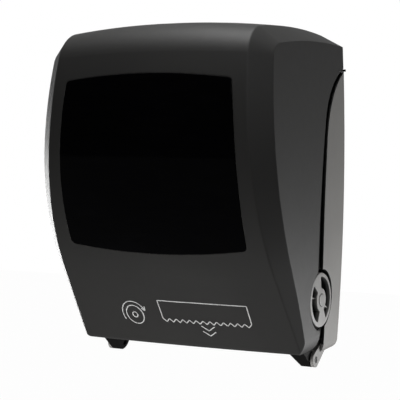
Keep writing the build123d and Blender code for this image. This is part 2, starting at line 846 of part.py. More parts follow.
with BuildPart() as seal_sheet:
    lining(wall + seal_gap)
    split(bisect_by=level_plane(seal_low_above), keep=Keep.BOTTOM)
    extrude(
        parting_side(cover_edge, seal_lap, back_wall, housing_floor_above),
        amount=beyond, both=True, mode=Mode.INTERSECT,
    )
    add(lip(wall + seal_gap, back_wall + seal_thickness))
    add(lip(-seal_lip_reach, seal_lip_front))


def seal_half(side):
    """One side's sheet behind the reveal."""
    with BuildPart() as half:
        add(seal_sheet.part)
        extrude(
            parting_side(housing_edge, -seal_lap, -overrun, housing_floor_above - overrun),
            amount=beyond, both=True, mode=Mode.SUBTRACT,
        )
        split(bisect_by=Plane.YZ, keep=Keep.TOP if side > 0 else Keep.BOTTOM)
    return half.part


with BuildPart() as edge_seal_left:
    add(seal_half(-1))
save(edge_seal_left, "edge_seal_left")

with BuildPart() as knob_ring:
    lining(wall + seal_gap)
    turned(beyond, frame_outer, axle_spot, knob_opening_radius + seal_lap, mode=Mode.INTERSECT)

with BuildPart() as edge_seal_right:
    add(seal_half(1))
    add(knob_ring.part)
    turned(beyond, frame_outer, axle_spot, knob_opening_radius, mode=Mode.SUBTRACT)
save(edge_seal_right, "edge_seal_right")

# Side frames of the feed unit, their tie rods and screws
with BuildPart() as side_frame:
    with BuildSketch(side_plane(frame_outer)) as outline:
        with BuildLine():
            Polyline(
                (back_wall, frame_floor_above), (axle_forward + frame_low_reach, frame_floor_above),
                (axle_forward + frame_nose_reach, axle_above + frame_nose_rise),
                (axle_forward + frame_top_reach, frame_top_above),
                (back_wall, frame_top_above), close=True,
            )
        make_face()
        fillet(outline.vertices().sort_by(Axis.X)[2:], frame_corner_radius)
    extrude(amount=frame_thickness)
    with BuildSketch(front_plane(back_wall)):
        with Locations((frame_outer, foot_low_above)):
            Rectangle(foot_width, foot_high_above - foot_low_above, align=(Align.MIN, Align.MIN))
        for above in foot_screw_heights:
            with Locations((foot_screw_across, above)):
                Circle(screw_hole_radius, mode=Mode.SUBTRACT)
    extrude(amount=frame_thickness)
    turned(frame_outer, frame_inner, axle_spot, bush_radius + seat, mode=Mode.SUBTRACT)
    turned(frame_outer, frame_inner, pinch_pivot, pinch_pivot_radius + seat, mode=Mode.SUBTRACT)
    for spot in tie_spots:
        turned(frame_outer, frame_inner, spot, tie_radius + seat, mode=Mode.SUBTRACT)
save_pair(side_frame, "side_frame")

with BuildPart() as tie_rods:
    for spot in tie_spots:
        turned(frame_outer, -frame_outer, spot, tie_radius)
save(tie_rods, "tie_rods")

with BuildPart() as panel_screws:
    for above in foot_screw_heights:
        for side in (-1, 1):
            screw(side * foot_screw_across, above, back_wall + frame_thickness)
    screw(0, leaf_screw_above, back_wall + leaf_thickness)
    screw(strike_across, strike_screw_above, back_wall + strike_thickness)
save(panel_screws, "panel_screws")


def guide(angles):
    """Curved towel guide between the frames, concentric with the drum, in the part being built."""
    start, end = angles
    with BuildSketch(side_plane(frame_inner)) as sector:
        with BuildLine():
            inner = CenterArc(axle_spot, guide_radius, start, end - start)
            outer = CenterArc(axle_spot, guide_outer, start, end - start)
            Line(inner @ 0, outer @ 0)
            Line(inner @ 1, outer @ 1)
        make_face()
    extrude(sector.sketch, amount=2 * frame_inner)


with BuildPart() as front_guide:
    guide(front_guide_angles)
save(front_guide, "front_guide")

with BuildPart() as rear_guide:
    guide(rear_guide_angles)
save(rear_guide, "rear_guide")

# Feed drum: two half shells with the knife slot, end caps, axle and rubber grip bands
slot_half = knife_half + end_play


def knife_slot():
    """Slot in the drum's rim that the knife swings out of, cut from the part being built."""
    with BuildSketch(drum_plane(slot_half)) as slot:
        with Locations((drum_radius - slot_depth, -slot_before)):
            Rectangle(slot_depth + overrun, slot_before + slot_after, align=(Align.MIN, Align.MIN))
    extrude(slot.sketch, amount=2 * slot_half, mode=Mode.SUBTRACT)


with BuildPart() as drum_shell_front:
    turned(drum_half, -drum_half, axle_spot, drum_radius, drum_radius - drum_wall)
    split(bisect_by=front_plane(axle_forward), keep=Keep.TOP)
    knife_slot()
save(drum_shell_front, "drum_shell_front")

with BuildPart() as drum_shell_rear:
    turned(drum_half, -drum_half, axle_spot, drum_radius, drum_radius - drum_wall)
    split(bisect_by=front_plane(axle_forward), keep=Keep.BOTTOM)
save(drum_shell_rear, "drum_shell_rear")

with BuildPart() as drum_cap_piece:
    turned(drum_half, drum_half - drum_cap, axle_spot, drum_radius - drum_wall - seat, axle_radius + seat)
    with BuildSketch(drum_plane(drum_half)):
        with Locations((knife_pivot_radial, knife_pivot_along)):
            Circle(knife_pin_radius + running)
    extrude(amount=drum_cap, mode=Mode.SUBTRACT)
save_pair(drum_cap_piece, "drum_cap")

with BuildPart() as grip_bands:
    for number in range(grip_count):
        middle = (2 * number / (grip_count - 1) - 1) * (drum_half - grip_margin)
        turned(middle + grip_width / 2, middle - grip_width / 2, axle_spot, grip_radius, drum_radius + seat)
    knife_slot()
save(grip_bands, "grip_bands")

# Knife: carrier on two pins in the drum's caps, toothed blade, followers and the tracks they run in
follower_inner = drum_half + 2 * slack
follower_outer = follower_inner + follower_arm_thickness
track_face = follower_outer + 2 * slack

with BuildPart() as knife_carrier:
    with BuildSketch(knife_plane(knife_half)):
        Circle(knife_tube_radius)
        Rectangle(knife_arm, knife_arm_thickness, align=(Align.MIN, Align.CENTER))
    extrude(amount=2 * knife_half)
    with BuildSketch(knife_plane(follower_outer)):
        Circle(knife_pin_radius)
    extrude(amount=2 * follower_outer)
save(knife_carrier, "knife_carrier")

tooth_count = int(2 * knife_half / tooth_pitch)
tooth_margin = knife_half - tooth_count * tooth_pitch / 2
blade_plane = knife_plane(-knife_half)
blade_face = Plane(
    origin=blade_plane.from_local_coords((0, knife_arm_thickness / 2, 0)),
    x_dir=blade_plane.x_dir, z_dir=blade_plane.y_dir,
)
with BuildPart() as knife_blade:
    with BuildSketch(blade_face):
        with BuildLine():
            points = [(blade_start, 0), (blade_end - tooth_depth, 0)]
            for number in range(tooth_count):
                root = tooth_margin + number * tooth_pitch
                points.append((blade_end - tooth_depth, root))
                points.append((blade_end, root + tooth_pitch / 2))
            points.append((blade_end - tooth_depth, 2 * knife_half - tooth_margin))
            points.append((blade_end - tooth_depth, 2 * knife_half))
            points.append((blade_start, 2 * knife_half))
            Polyline(*points, close=True)
        make_face()
    extrude(amount=blade_thickness)
save(knife_blade, "knife_blade")

with BuildPart() as knife_follower:
    with BuildSketch(knife_plane(follower_outer)):
        Circle(knife_tube_radius)
        with Locations((0, follower_arm)):
            Circle(follower_radius)
        make_hull()
        Circle(knife_pin_radius + seat, mode=Mode.SUBTRACT)
    extrude(amount=follower_arm_thickness)
    with BuildSketch(knife_plane(follower_outer + follower_width)):
        with Locations((0, follower_arm)):
            Circle(follower_radius)
    extrude(amount=follower_width)
save_pair(knife_follower, "knife_follower")

with BuildPart() as knife_track:
    turned(frame_inner, frame_inner - track_base, axle_spot, track_outer_radius, track_inner_radius)
    rim_face = frame_inner - track_base
    turned(rim_face, track_face, axle_spot, track_outer_radius, track_outer_radius - track_rim)
    turned(rim_face, track_face, axle_spot, track_inner_radius + track_rim, track_inner_radius)
save_pair(knife_track, "knife_track")

# Pinch roller on its yoke, pivot rod and leaf spring
yoke_outer = drum_half
yoke_inner = yoke_outer - pinch_arm_thickness
pinch_shaft_half = yoke_outer + pinch_arm_thickness
with BuildPart() as pinch_yoke:
    for right_face in (yoke_outer, -yoke_inner):
        extrude(
            hull(side_plane(right_face), pinch_pivot, pinch_pivot_boss, pinch_spot, pinch_shaft_boss),
            amount=pinch_arm_thickness,
        )
    turned(yoke_inner, -yoke_inner, pinch_pivot, pinch_pivot_radius + running + pinch_tube_wall)
    with BuildSketch(side_plane(yoke_inner)):
        with Locations((press_bar_forward, press_bar_above)):
            Rectangle(press_bar_width, press_bar_height)
    extrude(amount=2 * yoke_inner)
    turned(yoke_outer, -yoke_outer, pinch_pivot, pinch_pivot_radius + running, mode=Mode.SUBTRACT)
    turned(yoke_outer, -yoke_outer, pinch_spot, pinch_shaft_radius + running, mode=Mode.SUBTRACT)
save(pinch_yoke, "pinch_yoke")

with BuildPart() as pinch_pivot_rod:
    turned(frame_outer, -frame_outer, pinch_pivot, pinch_pivot_radius)
save(pinch_pivot_rod, "pinch_pivot_rod")

with BuildPart() as pinch_shaft:
    turned(pinch_shaft_half, -pinch_shaft_half, pinch_spot, pinch_shaft_radius)
save(pinch_shaft, "pinch_shaft")

sleeves_span = 2 * (yoke_inner - pinch_sleeve_end)
pinch_sleeve_length = (sleeves_span - (pinch_sleeve_count - 1) * pinch_sleeve_gap) / pinch_sleeve_count
with BuildPart() as pinch_sleeves:
    for number in range(pinch_sleeve_count):
        middle = (number - (pinch_sleeve_count - 1) / 2) * (pinch_sleeve_length + pinch_sleeve_gap)
        turned(
            middle + pinch_sleeve_length / 2, middle - pinch_sleeve_length / 2,
            pinch_spot, pinch_radius, pinch_shaft_radius + seat,
        )
save(pinch_sleeves, "pinch_sleeves")

leaf_line_forward = back_wall + leaf_thickness / 2
leaf_tip_above = press_bar_above + press_bar_height / 2 + leaf_thickness
with BuildPart() as pinch_leaf:
    with BuildSketch(side_plane(leaf_width / 2)):
        with BuildLine():
            Polyline(
                (leaf_line_forward, leaf_root_above + leaf_foot), (leaf_line_forward, leaf_root_above),
                (press_bar_forward + leaf_tip, leaf_tip_above),
            )
        trace(line_width=leaf_thickness)
    extrude(amount=leaf_width)
    with BuildSketch(front_plane(0)):
        with Locations((0, leaf_screw_above)):
            Circle(screw_hole_radius)
    extrude(amount=back_wall + overrun, mode=Mode.SUBTRACT)
save(pinch_leaf, "pinch_leaf")

# Right end of the axle: bush, one-way clutch in its support, knob and cap
with BuildPart() as axle_bush:
    turned(bush_end, frame_outer, axle_spot, bush_flange_radius, axle_radius + running)
    turned(frame_outer, frame_inner, axle_spot, bush_radius, axle_radius + running)
save_pair(axle_bush, "axle_bush")

with BuildPart() as clutch_support:
    turned(
        frame_outer + support_flange, frame_outer, axle_spot,
        support_flange_radius, bush_flange_radius + end_play,
    )
    turned(
        support_end, frame_outer + support_flange, axle_spot,
        clutch_radius + seat + support_wall, clutch_radius + seat,
    )
save(clutch_support, "clutch_support")

with BuildPart() as one_way_clutch:
    turned(clutch_outer, clutch_inner, axle_spot, clutch_radius, axle_radius + running)
save(one_way_clutch, "one_way_clutch")

def knob_section(across, radius):
    """Round section of the knob at one place along the axle."""
    with BuildSketch(side_plane(across)) as section:
        with Locations(axle_spot):
            Circle(radius)
    return section.sketch


with BuildPart() as feed_knob:
    turned(knob_rim_face, knob_back, axle_spot, knob_radius)
    rim_edges = feed_knob.edges().filter_by(GeomType.CIRCLE).sort_by(Axis.X)
    fillet(rim_edges[-1], knob_round)
    loft(sections=[
        knob_section(knob_rim_face, knob_radius - knob_round), knob_section(knob_face, knob_hub_radius)
    ])
    turned(knob_back, stem_inner, axle_spot, knob_stem_radius)
    for first, last in knob_pocket_angles:
        with BuildSketch(side_plane(knob_face)) as pocket:
            with Locations(axle_spot):
                Circle(knob_radius - knob_rim)
                Circle(knob_hub_radius, mode=Mode.SUBTRACT)
            with BuildLine():
                reach = [
                    on_circle(axle_spot, 2 * knob_radius, radians(angle))
                    for angle in (first, (first + last) / 2, last)
                ]
                Polyline(axle_spot, *reach, close=True)
            make_face(mode=Mode.INTERSECT)
            fillet(pocket.vertices(), knob_pocket_round)
        extrude(pocket.sketch, amount=knob_pocket_depth, mode=Mode.SUBTRACT)
    turned(
        knob_face, knob_face - knob_cap_depth, axle_spot, knob_cap_radius + knob_cap_groove,
        mode=Mode.SUBTRACT,
    )
    turned(knob_face, stem_inner, axle_spot, axle_radius + seat, mode=Mode.SUBTRACT)
save(feed_knob, "feed_knob")

with BuildPart() as knob_cap:
    turned(knob_face + knob_cap_proud, knob_face - knob_cap_depth, axle_spot, knob_cap_radius)
    fillet(knob_cap.edges().group_by(Axis.X)[-1], knob_cap_round)
save(knob_cap, "knob_cap")

# Left end of the axle: crank, return spring and its case
crank_inner = bush_end + end_play
crank_outer = crank_inner + crank_thickness
spring_across = crank_outer + spring_standoff
case_outer = spring_across + spring_radius + spring_wire + end_play + case_wall
with BuildPart() as drum_axle:
    turned(knob_face - knob_cap_depth, -crank_outer - end_play, axle_spot, axle_radius)
save(drum_axle, "drum_axle")

with BuildPart() as crank:
    turned(-crank_inner, -crank_outer, axle_spot, crank_radius, axle_radius + seat)
save(crank, "crank")

half_turns = 2 * spring_turns + 1
half_rise = (spring_anchor_above - spring_hook_above) / half_turns
half_reach = sqrt(spring_radius**2 + (half_rise / 2) ** 2)


def spring_point(across, forward, above):
    """A point of the spring on the dispenser's left."""
    return (-across, -forward, above - mount_above)


with BuildPart() as return_spring:
    with BuildLine() as coil:
        front = axle_forward + spring_radius
        Line(
            spring_point(frame_outer, front, spring_anchor_above),
            spring_point(spring_across, front, spring_anchor_above),
        )
        for number in range(half_turns):
            way = 1 if number % 2 == 0 else -1
            start_above = spring_anchor_above - number * half_rise
            ThreePointArc(
                spring_point(spring_across, axle_forward + way * spring_radius, start_above),
                spring_point(spring_across + way * half_reach, axle_forward, start_above - half_rise / 2),
                spring_point(spring_across, axle_forward - way * spring_radius, start_above - half_rise),
            )
        back = axle_forward - spring_radius
        Line(
            spring_point(spring_across, back, spring_hook_above),
            spring_point(crank_outer, back, spring_hook_above),
        )
    with BuildSketch(Plane(origin=coil.line @ 0, z_dir=coil.line % 0)):
        Circle(spring_wire)
    sweep()
save(return_spring, "return_spring")

# The spring's least gap to itself, between points over half a turn apart along the wire
samples_per_turn = 12
coil_points = [
    edge @ ((number + 1) / samples_per_turn * 2)
    for edge in coil.edges() for number in range(samples_per_turn // 2)
]
least = min(
    (first - second).length
    for place, first in enumerate(coil_points) for second in coil_points[place + samples_per_turn // 2:]
)
print("spring gap", round(least - 2 * spring_wire, 2))

with BuildPart() as spring_case:
    case_top = (axle_forward, case_top_above)
    extrude(
        hull(side_plane(-frame_outer), axle_spot, case_radius, case_top, case_top_radius),
        amount=case_outer - frame_outer,
    )
    extrude(
        hull(
            side_plane(-frame_outer), axle_spot, case_radius - case_wall,
            case_top, case_top_radius - case_wall,
        ),
        amount=case_outer - frame_outer - case_wall, mode=Mode.SUBTRACT,
    )
save(spring_case, "spring_case")

# Roll arms on upright pins, with turning hubs for the roll's core
hub_inner = hub_outer - hub_flange - hub_length
with BuildPart() as roll_arm:
    extrude(
        hull(
            side_plane(arm_outer), (arm_pin_forward, roll_above), arm_root_radius, roll_spot, arm_tip_radius
        ),
        amount=arm_thickness,
    )
    split(bisect_by=front_plane(arm_pin_forward), keep=Keep.TOP)
    upright(
        roll_above + arm_knuckle_half, roll_above - arm_knuckle_half,
        arm_pin_across, arm_pin_forward, arm_knuckle_radius,
    )
    turned(arm_inner, hub_inner + hub_nose, roll_spot, hub_stub_radius)
    upright(
        roll_above + arm_knuckle_half, roll_above - arm_knuckle_half,
        arm_pin_across, arm_pin_forward, arm_pin_radius + running, mode=Mode.SUBTRACT,
    )
save_pair(roll_arm, "roll_arm")

with BuildPart() as arm_pin:
    reach = arm_knuckle_half + slack + lug_thickness
    upright(roll_above + reach, roll_above - reach, arm_pin_across, arm_pin_forward, arm_pin_radius)
save_pair(arm_pin, "arm_pin")

with BuildPart() as roll_hub:
    turned(hub_outer, hub_outer - hub_flange, roll_spot, hub_flange_radius)
    with BuildSketch(side_plane(hub_outer - hub_flange)):
        with Locations(roll_spot):
            Circle(hub_radius)
    with BuildSketch(side_plane(hub_inner)):
        with Locations(roll_spot):
            Circle(hub_nose_radius)
    loft()
    bore_end = hub_inner + hub_nose - slack
    turned(hub_outer, bore_end, roll_spot, hub_stub_radius + running, mode=Mode.SUBTRACT)
save_pair(roll_hub, "roll_hub")

# Lock in the cover's top, and the strike on the upper panel that its cam turns behind
lock_flange_top = lock_seat_above + lock_flange
barrel_foot = cam_above + cam_thickness
with BuildPart() as lock_sleeve:
    barrel_bore = lock_barrel_radius + running
    sleeve_foot = lock_seat_above - lock_sleeve_depth
    upright(lock_flange_top, lock_seat_above, 0, lock_forward, lock_flange_radius, barrel_bore)
    upright(lock_seat_above, sleeve_foot, 0, lock_forward, lock_sleeve_radius, barrel_bore)
save(lock_sleeve, "lock_sleeve")

with BuildPart() as lock_nut:
    upright(
        lock_nut_above, lock_nut_above - nut_height, 0, lock_forward, nut_radius, lock_sleeve_radius + seat
    )
save(lock_nut, "lock_nut")

with BuildPart() as lock_barrel:
    upright(lock_flange_top, barrel_foot, 0, lock_forward, lock_barrel_radius)
    with BuildSketch(level_plane(lock_flange_top)):
        with Locations((0, lock_forward)):
            Rectangle(key_slot_width, key_slot_length)
    extrude(amount=key_slot_depth, mode=Mode.SUBTRACT)
save(lock_barrel, "lock_barrel")

with BuildPart() as lock_cam:
    extrude(
        hull(
            level_plane(barrel_foot), (0, lock_forward), lock_barrel_radius,
            (0, lock_forward - cam_length + cam_width / 2), cam_width / 2,
        ),
        amount=cam_thickness,
    )
save(lock_cam, "lock_cam")

with BuildPart() as lock_strike:
    tab = lock_forward + lock_barrel_radius + end_play
    tab_top = barrel_foot - slack
    with BuildSketch(side_plane(strike_across + strike_half)):
        with BuildLine():
            Polyline(
                (back_wall, strike_level - strike_foot), (back_wall, strike_level), (tab, strike_level),
                (tab, tab_top), (tab + strike_thickness, tab_top),
                (tab + strike_thickness, strike_level - strike_thickness),
                (back_wall + strike_thickness, strike_level - strike_thickness),
                (back_wall + strike_thickness, strike_level - strike_foot), close=True,
            )
        make_face()
    extrude(amount=2 * strike_half)
    with BuildSketch(front_plane(0)):
        with Locations((strike_across, strike_screw_above)):
            Circle(screw_hole_radius)
    extrude(amount=back_wall + overrun, mode=Mode.SUBTRACT)
save(lock_strike, "lock_strike")
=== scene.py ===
import json
from math import cos, pi, radians, sin

import bmesh
import bpy
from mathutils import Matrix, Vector


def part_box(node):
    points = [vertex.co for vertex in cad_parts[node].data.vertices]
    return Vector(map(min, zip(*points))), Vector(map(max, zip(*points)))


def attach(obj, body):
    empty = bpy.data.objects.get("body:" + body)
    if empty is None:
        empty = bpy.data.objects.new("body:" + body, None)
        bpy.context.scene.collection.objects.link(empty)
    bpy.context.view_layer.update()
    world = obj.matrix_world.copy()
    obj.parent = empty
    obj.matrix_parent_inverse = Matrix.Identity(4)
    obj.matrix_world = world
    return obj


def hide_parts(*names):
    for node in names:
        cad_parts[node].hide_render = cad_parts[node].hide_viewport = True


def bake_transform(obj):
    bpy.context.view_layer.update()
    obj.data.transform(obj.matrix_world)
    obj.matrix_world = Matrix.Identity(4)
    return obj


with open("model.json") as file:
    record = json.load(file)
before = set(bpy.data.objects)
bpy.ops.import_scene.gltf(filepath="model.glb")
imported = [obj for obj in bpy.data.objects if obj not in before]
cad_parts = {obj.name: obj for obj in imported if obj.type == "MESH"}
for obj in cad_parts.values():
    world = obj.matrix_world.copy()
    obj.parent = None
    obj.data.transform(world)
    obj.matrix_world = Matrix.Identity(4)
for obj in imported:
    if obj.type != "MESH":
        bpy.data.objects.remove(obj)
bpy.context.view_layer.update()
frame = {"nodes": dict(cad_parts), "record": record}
nodes = frame["nodes"]
mm = 0.001
fullTurn = 360.0  # degrees
noiseMiddle = 0.5  # mean value of a noise
originAbove = 250.0  # height in mm of the frame's origin over the cover's lower edge
print("frame loaded:", len(nodes), "nodes")


# Sockets with arithmetic, and the one method that makes every other node
class Wire:
    def __init__(self, tree, socket=None):
        self.tree = tree
        self.socket = socket

    def node(self, kind, settings=None, sockets=None, out=0):
        made = self.tree.nodes.new(kind)
        for name, value in (settings or {}).items():
            if name == "stops":
                for stop, (place, grey) in zip(made.color_ramp.elements, value):
                    stop.position = place
                    stop.color = (grey, grey, grey, 1.0)
            else:
                setattr(made, name, value)
        for name, value in (sockets or {}).items():
            for given in value if isinstance(value, list) else [value]:
                if isinstance(given, Wire):
                    self.tree.links.new(given.socket, made.inputs[name])
                else:
                    made.inputs[name].default_value = given
        return Wire(self.tree, made.outputs[out] if len(made.outputs) else None)

    def other(self, output):  # another output of the same node
        return Wire(self.tree, self.socket.node.outputs[output])

    def maths(self, operation, first, second):
        return self.node("ShaderNodeMath", {"operation": operation}, {0: first, 1: second})

    def __add__(self, other):
        return self.maths("ADD", self, other)

    def __radd__(self, other):
        return self.maths("ADD", other, self)

    def __sub__(self, other):
        return self.maths("SUBTRACT", self, other)

    def __rsub__(self, other):
        return self.maths("SUBTRACT", other, self)

    def __mul__(self, other):
        return self.maths("MULTIPLY", self, other)

    def __rmul__(self, other):
        return self.maths("MULTIPLY", other, self)


def emptyTree(holder):
    holder.use_nodes = True
    holder.node_tree.nodes.clear()
    return Wire(holder.node_tree)


def openFinish(name):
    material = bpy.data.materials.new(name)
    bench = emptyTree(material)
    return material, bench, bench.node("ShaderNodeTexCoord", out="Object")


def closeFinish(bench, sockets):
    shader = bench.node("ShaderNodeBsdfPrincipled", {}, sockets)
    bench.node("ShaderNodeOutputMaterial", {}, {"Surface": shader})


def noise(bench, where, scale, detail=3.0, roughness=0.5):
    return bench.node("ShaderNodeTexNoise", {}, {
        "Vector": where, "Scale": scale, "Detail": detail, "Roughness": roughness,
    })


def stretched(bench, where, scale, turn=(0.0, 0.0, 0.0)):
    return bench.node("ShaderNodeMapping", {}, {"Vector": where, "Rotation": turn, "Scale": scale})


def blendColour(bench, mask, first, second):  # Mix takes colours at 6 and 7 and gives one at 2
    return bench.node("ShaderNodeMix", {"data_type": "RGBA"}, {0: mask, 6: first, 7: second}, out=2)


def ramp(bench, value, stops):
    return bench.node("ShaderNodeValToRGB", {"stops": stops}, {0: value})


def rising(bench, value, span):  # 0 up to the span, 1 past it
    return ramp(bench, value, [(span[0], 0.0), (span[1], 1.0)])


def rgba(colour):
    return (*colour, 1.0)


# Moulded plastics: spark-eroded grain, faint flow mottling, edges lighter partly from rubbed wear and partly
# as a painted highlight, and optional painted shade on the knob's pockets and the housing's rim
mouldLook = {
    "edgeSamples": 4, "edgeSpan": (0.01, 0.14), "edgeGloss": 0.06, "flowDetail": 4.0, "flowSpan": (0.3, 0.7),
    "rubDetail": 6.0, "rubRoughness": 0.7, "rubSpan": (0.42, 0.68), "grainDetail": 2.0,
}


# Painted shade in the knob's pockets: a mask from 0 on the floor of the pockets to 1 near its face, that
# darkens the colour towards the floor
def pocketShadeMask(bench, where, look):
    across = bench.node("ShaderNodeSeparateXYZ", {}, {0: where}, out="X")
    return bench.node("ShaderNodeMapRange", {}, {
        "Value": across, "From Min": look["deepFrom"], "From Max": look["deepTo"],
    })


# Painted shade: 1 on the rim behind the cover's edges (far out, facing forward, not round the side, above the
# hinge), where the reveal lies in shadow
def rimShadeMask(bench, where, plain, look):
    sideways = bench.node("ShaderNodeSeparateXYZ", {}, {0: plain}, out="X")
    forward = sideways.other("Y") * -1
    across = bench.node("ShaderNodeSeparateXYZ", {}, {0: where}, out="X")
    outside = bench.maths("GREATER_THAN", across * across, look["rimFrom"] ** 2)
    facing = bench.maths("GREATER_THAN", forward, look["rimForward"])
    inward = bench.maths("LESS_THAN", sideways * sideways, look["rimSideways"] ** 2)
    above = bench.maths("GREATER_THAN", across.other("Z"), look["rimAbove"])
    return outside * facing * inward * above


def mouldedPlastic(name, look):
    material, bench, where = openFinish(name)
    rounded = bench.node(
        "ShaderNodeBevel", {"samples": mouldLook["edgeSamples"]}, {"Radius": look["edgeRound"]}
    )
    plain = bench.node("ShaderNodeNewGeometry", out="Normal")
    level = bench.node(
        "ShaderNodeVectorMath", {"operation": "DOT_PRODUCT"}, {0: rounded, 1: plain}, out="Value"
    )
    edge = rising(bench, 1 - level, mouldLook["edgeSpan"])
    flow = noise(bench, where, look["flowScale"], mouldLook["flowDetail"])
    rub = noise(bench, where, look["rubScale"], mouldLook["rubDetail"], mouldLook["rubRoughness"])
    grain = noise(bench, where, look["grainScale"], mouldLook["grainDetail"])
    cloudy = rising(bench, flow, mouldLook["flowSpan"])
    mottled = blendColour(bench, cloudy, rgba(look["dark"]), rgba(look["colour"]))
    # lighter edges: partly rubbed wear, partly a painted highlight on the rounded edges
    wearAndHighlight = edge * rising(bench, rub, mouldLook["rubSpan"]) * look["wearAndHighlight"]
    colour = blendColour(bench, wearAndHighlight, mottled, rgba(look["worn"]))
    # painted shade: the knob's pockets darkened towards their floor
    if "deep" in look:
        colour = blendColour(bench, pocketShadeMask(bench, where, look), rgba(look["deep"]), colour)
    # painted shade: the housing's rim in the shadowed reveal behind the cover turned black
    if "rim" in look:
        colour = blendColour(bench, rimShadeMask(bench, where, plain, look), colour, rgba(look["rim"]))
    uneven = look["roughness"] + (flow - noiseMiddle) * look["roughSpread"]
    rough = uneven + (rub - noiseMiddle) * look["roughSpread"] - edge * mouldLook["edgeGloss"]
    bump = bench.node("ShaderNodeBump", {}, {
        "Strength": look["grainStrength"], "Distance": look["grainDepth"], "Height": grain, "Normal": rounded,
    })
    closeFinish(bench, {
        "Base Color": colour, "Roughness": rough, "Normal": bump, "Specular IOR Level": look["specular"],
    })
    return material


# The cover's and the housing's lighter edge colour (worn, with its weight) is partly a painted highlight
# along their rounded edges and partly rubbed wear
coverLook = {
    "colour": (0.0150, 0.0147, 0.0140), "dark": (0.0128, 0.0125, 0.0120), "worn": (0.110, 0.108, 0.104),
    "wearAndHighlight": 1.0, "edgeRound": 1.6 * mm, "roughness": 0.56, "roughSpread": 0.10, "specular": 0.42,
    "flowScale": 11.0, "rubScale": 90.0,
    "grainScale": 1500.0, "grainStrength": 0.35, "grainDepth": 0.12 * mm,
}
housingLook = {
    "colour": (0.218, 0.213, 0.204), "dark": (0.195, 0.190, 0.182), "worn": (0.34, 0.335, 0.33),
    "wearAndHighlight": 0.8, "edgeRound": 1.6 * mm, "roughness": 0.50, "roughSpread": 0.12, "specular": 0.45,
    "flowScale": 13.0, "rubScale": 80.0,
    "grainScale": 1300.0, "grainStrength": 0.30, "grainDepth": 0.12 * mm,
    # rim: black painted shade on the housing's rim in the reveal behind the cover
    "rim": (0.004, 0.004, 0.004), "rimFrom": 150.0 * mm, "rimAbove": -246.0 * mm,
    "rimForward": 0.15, "rimSideways": 0.7,
}
knobLook = {
    "colour": (0.290, 0.285, 0.278), "dark": (0.255, 0.250, 0.244), "worn": (0.52, 0.515, 0.51),
    "wearAndHighlight": 0.6, "edgeRound": 0.9 * mm, "roughness": 0.36, "roughSpread": 0.14, "specular": 0.5,
    "flowScale": 30.0, "rubScale": 160.0,
    "grainScale": 1900.0, "grainStrength": 0.18, "grainDepth": 0.08 * mm,
    # deep: colour of the painted shade on the floor of the knob's pockets
    "deep": (0.002, 0.002, 0.002), "deepFrom": 152.5 * mm, "deepTo": 157.6 * mm,
}
blackLook = {
    "colour": (0.0050, 0.0050, 0.0049), "dark": (0.0036, 0.0036, 0.0035), "worn": (0.022, 0.022, 0.021),
    "wearAndHighlight": 0.45, "edgeRound": 0.8 * mm, "roughness": 0.50, "roughSpread": 0.14, "specular": 0.2,
    "flowScale": 20.0, "rubScale": 110.0,
    "grainScale": 1700.0, "grainStrength": 0.25, "grainDepth": 0.1 * mm,
}
# A darker, matter copy of the black plastic: painted shade for parts that sit in shadow
shadedMattLook = {
    "colour": (0.0032, 0.0032, 0.0031), "dark": (0.0024, 0.0024, 0.0023), "worn": (0.014, 0.014, 0.013),
    "wearAndHighlight": 0.35, "edgeRound": 0.8 * mm, "roughness": 0.62, "roughSpread": 0.12, "specular": 0.08,
    "flowScale": 20.0, "rubScale": 110.0,
    "grainScale": 1700.0, "grainStrength": 0.25, "grainDepth": 0.1 * mm,
}
nylonLook = {
    "colour": (0.70, 0.685, 0.635), "dark": (0.64, 0.625, 0.57), "worn": (0.78, 0.77, 0.74),
    "wearAndHighlight": 0.5, "edgeRound": 0.6 * mm, "roughness": 0.42, "roughSpread": 0.12, "specular": 0.5,
    "flowScale": 40.0, "rubScale": 140.0,
    "grainScale": 1500.0, "grainStrength": 0.15, "grainDepth": 0.08 * mm,
}
armLook = {
    "colour": (0.19, 0.19, 0.19), "dark": (0.165, 0.165, 0.165), "worn": (0.33, 0.33, 0.33),
    "wearAndHighlight": 0.5, "edgeRound": 0.8 * mm, "roughness": 0.46, "roughSpread": 0.14, "specular": 0.45,
    "flowScale": 18.0, "rubScale": 100.0,
    "grainScale": 1500.0, "grainStrength": 0.22, "grainDepth": 0.1 * mm,
}


# Polished smoked plastic of the window, with faint wiping marks in its gloss
windowLook = {
    "colour": (0.0009, 0.0009, 0.0011), "haze": (0.0016, 0.0016, 0.0020),
    "roughness": 0.07, "specular": 0.025, "smear": 0.05, "smearScale": 22.0, "smearSpan": (0.45, 0.75),
    "wipeTurn": (0.0, 0.5, 0.0), "wipeStretch": (1.0, 1.0, 5.0), "wipeDetail": 6.0, "wipeRoughness": 0.65,
    "wipeShare": 0.6, "cloudShare": 0.4, "cloudSize": 3,
    "ripple": 0.02 * mm, "rippleScale": 9.0, "rippleDetail": 1.0, "rippleStrength": 0.2,
}


def polishedWindow(name, look):
    material, bench, where = openFinish(name)
    wiping = stretched(bench, where, look["wipeStretch"], look["wipeTurn"])
    wiped = noise(bench, wiping, look["smearScale"], look["wipeDetail"], look["wipeRoughness"])
    cloud = noise(bench, where, look["smearScale"] / look["cloudSize"])
    smear = rising(bench, wiped * look["wipeShare"] + cloud * look["cloudShare"], look["smearSpan"])
    ripple = noise(bench, where, look["rippleScale"], look["rippleDetail"])
    bump = bench.node("ShaderNodeBump", {}, {
        "Strength": look["rippleStrength"], "Distance": look["ripple"], "Height": ripple,
    })
    closeFinish(bench, {
        "Base Color": blendColour(bench, smear, rgba(look["colour"]), rgba(look["haze"])),
        "Roughness": look["roughness"] + smear * look["smear"],
        "Normal": bump, "Specular IOR Level": look["specular"],
    })
    return material


